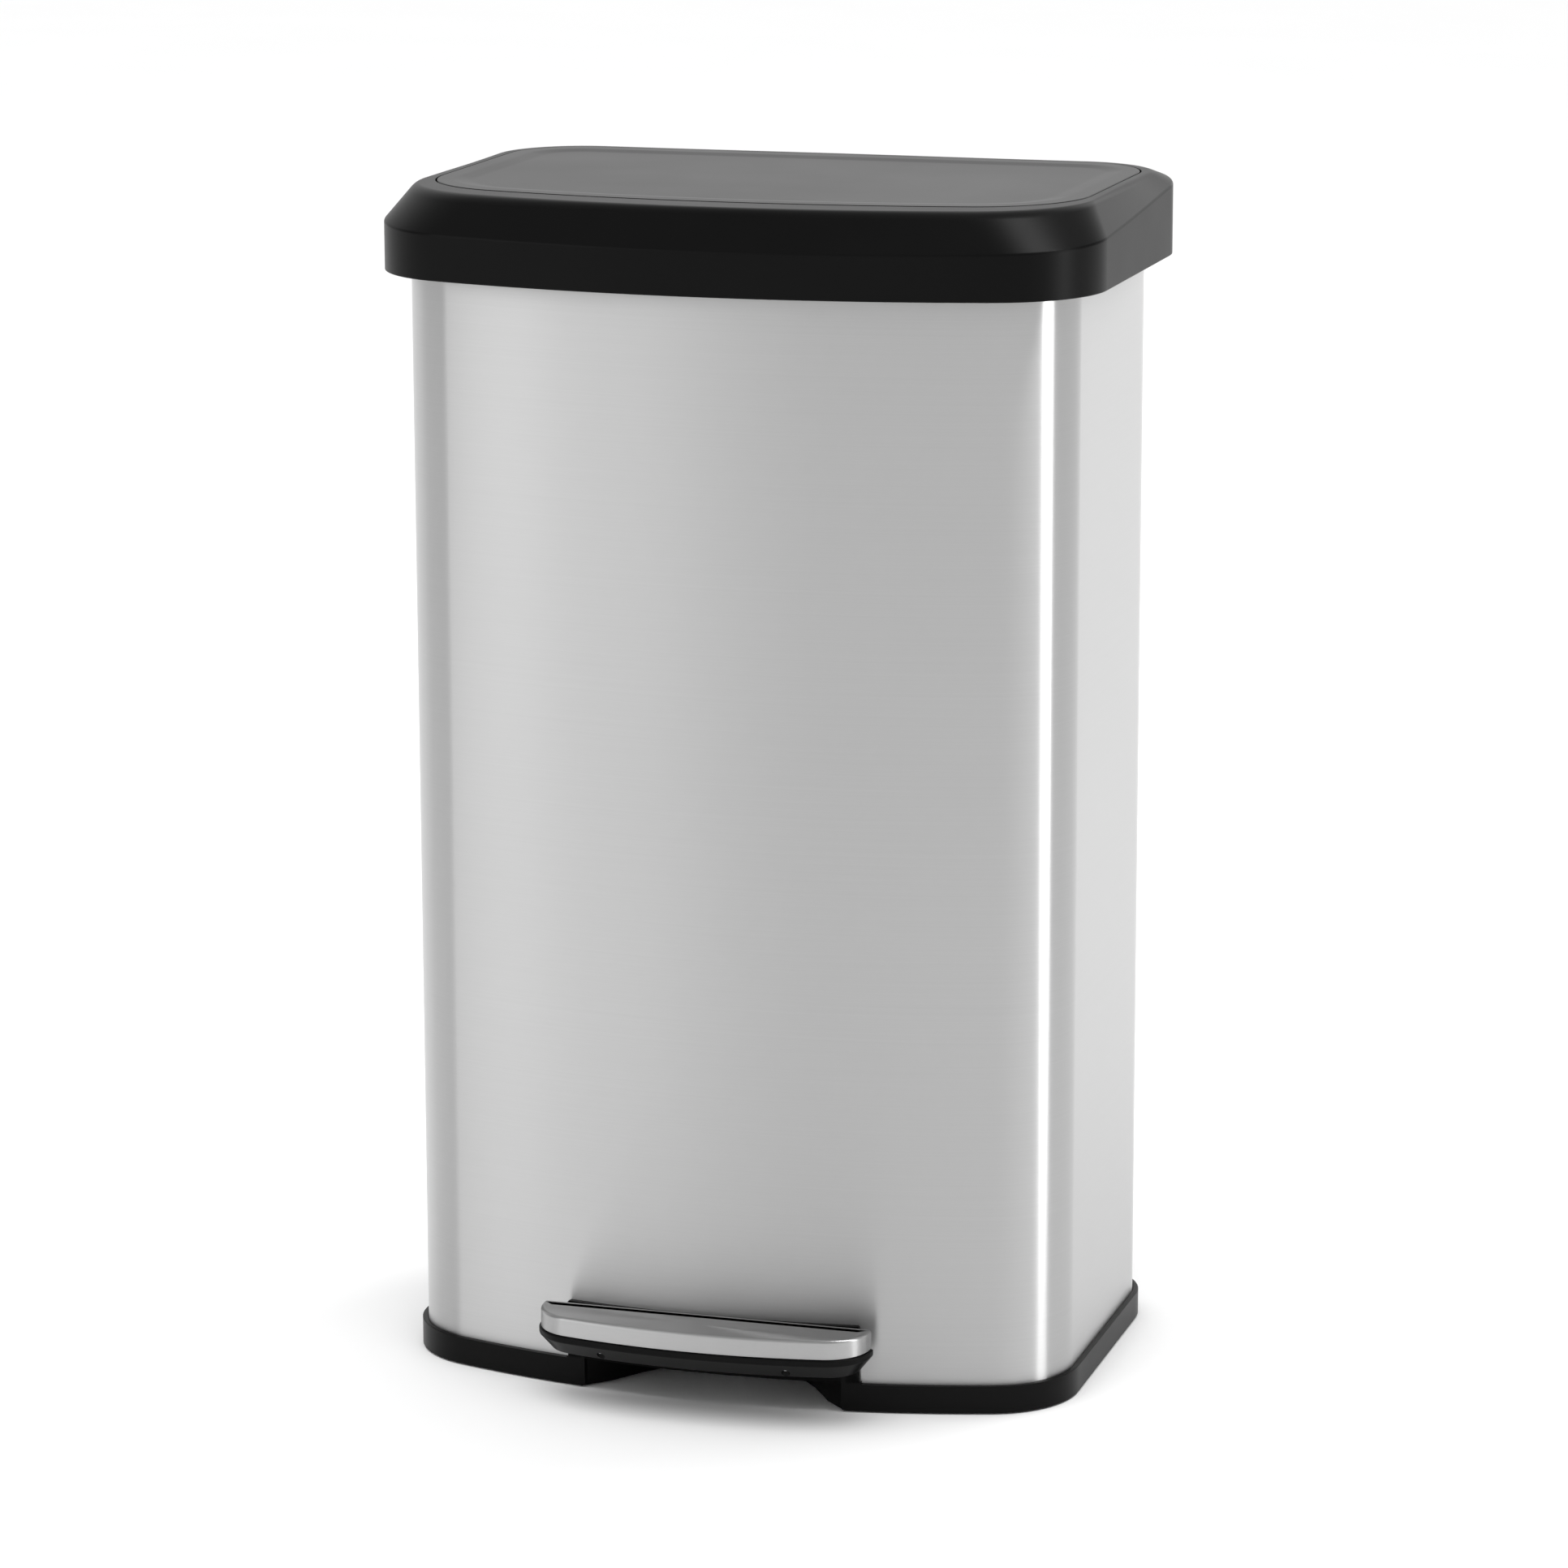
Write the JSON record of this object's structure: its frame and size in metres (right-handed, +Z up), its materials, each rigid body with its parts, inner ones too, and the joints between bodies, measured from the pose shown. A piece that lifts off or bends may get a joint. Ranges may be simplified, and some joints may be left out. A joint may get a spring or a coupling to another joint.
{
  "type": "pedal bin",
  "caption": "Upright rectangular pedal bin with a bowed steel shell, black moulded base and hinged lid, inner bucket, foot pedal, lever, lift rod and damper.",
  "frame": {"origin": "on the floor under the middle of the bin's whole box, which runs from the pedal's front to the lid's rear", "axes": "+Z up, the pedal and the bowed front face -Y, the lid hinge runs along X at the rear"},
  "size_m": [0.3974, 0.3032, 0.6502],
  "materials": {
    "brushed_steel": "brushed satin stainless steel, fine level grain",
    "black_plastic": "satin black moulded plastic with a fine moulded grain",
    "panel_plastic": "satin dark grey moulded plastic",
    "grey_plastic": "matt dark grey plastic",
    "nylon": "natural nylon",
    "zinc_steel": "zinc-plated steel",
    "rubber": "matt black rubber"
  },
  "bodies": {
    "root": {"base_ring": "black_plastic", "foot_pad_front_left": "rubber", "foot_pad_front_right": "rubber", "foot_pad_rear_left": "rubber", "foot_pad_rear_right": "rubber", "axle_bearing_left": "grey_plastic", "axle_bearing_right": "grey_plastic", "axle_clip_left": "zinc_steel", "axle_clip_right": "zinc_steel", "pedal_axle": "zinc_steel", "body_shell": "brushed_steel", "top_collar": "black_plastic", "inner_floor": "grey_plastic", "floor_screw_1": "zinc_steel", "floor_screw_2": "zinc_steel", "floor_screw_3": "zinc_steel", "floor_screw_4": "zinc_steel", "hinge_housing": "black_plastic", "hinge_pin_left": "zinc_steel", "hinge_pin_right": "zinc_steel", "housing_screw_1": "zinc_steel", "housing_screw_2": "zinc_steel", "housing_screw_3": "zinc_steel", "housing_screw_4": "zinc_steel", "hinge_backing_plate": "zinc_steel", "rod_guide_lower": "grey_plastic", "rod_guide_upper": "grey_plastic", "damper_cylinder": "black_plastic", "damper_clip": "grey_plastic"},
    "lid": {"lid_frame": "black_plastic", "lid_panel": "panel_plastic", "lid_liner": "black_plastic", "lid_crank": "zinc_steel", "crank_screw_1": "zinc_steel", "crank_screw_2": "zinc_steel", "lid_bumper_left": "rubber", "lid_bumper_right": "rubber"},
    "pedal": {"pedal_cover": "brushed_steel", "pedal_base": "black_plastic", "pedal_lever": "zinc_steel", "pedal_screw_left": "zinc_steel", "pedal_screw_right": "zinc_steel", "lever_bush_left": "nylon", "lever_bush_right": "nylon", "lever_pin": "zinc_steel"},
    "rod": {"lift_rod": "zinc_steel", "rod_shoe": "nylon", "rod_eye": "zinc_steel", "crank_pin": "zinc_steel", "damper_piston": "zinc_steel"},
    "bucket": {"inner_bucket": "grey_plastic"}
  },
  "joints": [
    {"name": "lid_hinge", "type": "hinge", "parent": "root", "child": "lid", "pos_m": [0, 0.14565, 0.607], "axis": [-1, 0, 0], "range_deg": [0, 80]},
    {"name": "pedal_pivot", "type": "hinge", "parent": "root", "child": "pedal", "pos_m": [0, -0.00135, 0.027], "axis": [1, 0, 0], "range_deg": [0, 8.51]},
    {"name": "rod_lift", "type": "slide", "parent": "root", "child": "rod", "axis": [0, 0, 1], "range_m": [0, 0.01851]},
    {"name": "bucket_lift", "type": "slide", "parent": "root", "child": "bucket", "axis": [0, 0, 1], "range_m": [0, 0.012]}
  ],
  "couplings": [
    {"joint": "pedal_pivot", "follows": "lid_hinge", "ratio": 0.10616},
    {"joint": "rod_lift", "follows": "lid_hinge", "m_per_rad": 0.013221}
  ]
}
